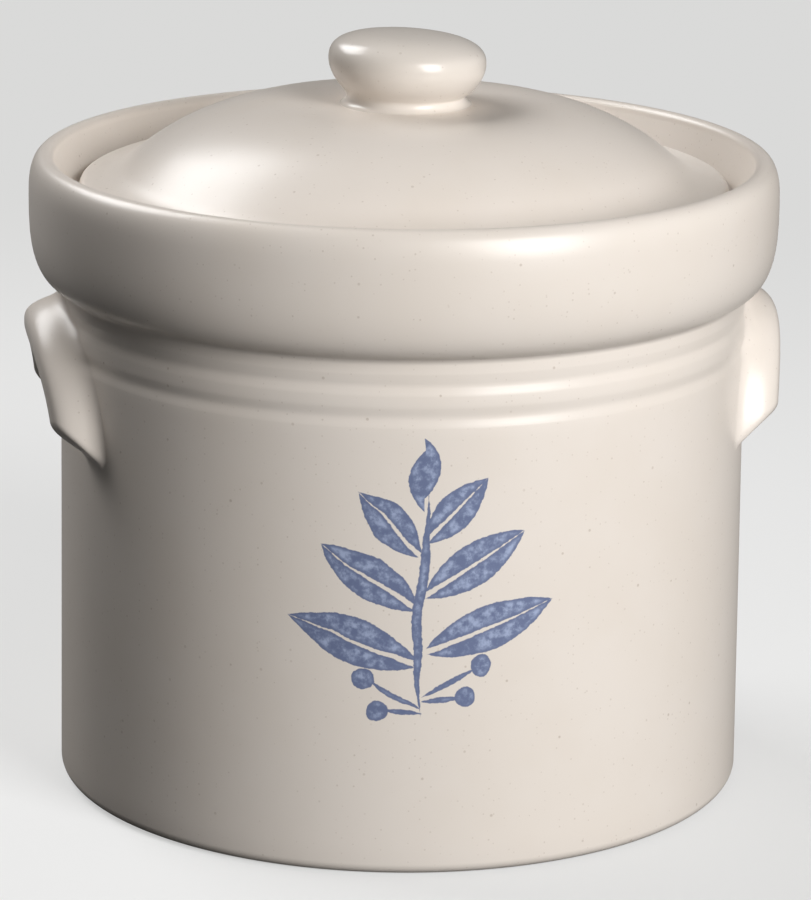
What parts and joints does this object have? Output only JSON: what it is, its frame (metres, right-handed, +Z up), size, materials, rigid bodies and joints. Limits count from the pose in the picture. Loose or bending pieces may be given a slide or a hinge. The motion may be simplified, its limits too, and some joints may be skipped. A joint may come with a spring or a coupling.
{
  "type": "lidded stoneware canister",
  "caption": "Lidded stoneware crock canister with a wide barrel collar, ear handles, and a recessed domed lid with a mushroom knob, for keeping dry food.",
  "frame": {"origin": "middle of the foot, on the surface that the canister stands on", "axes": "+Z up, -Y toward the decorated front, the handles on -X and +X"},
  "size_m": [0.1906, 0.1878, 0.1903],
  "materials": {
    "cream_glaze": "satin"
  },
  "bodies": {
    "crock": {"crock_body": "cream_glaze", "left_handle": "cream_glaze", "right_handle": "cream_glaze"},
    "lid": {"lid": "cream_glaze", "lid_knob": "cream_glaze"}
  },
  "joints": [
    {"name": "lid_lift", "type": "slide", "parent": "crock", "child": "lid", "axis": [0, 0, 1], "range_m": [0, 0.12]}
  ]
}
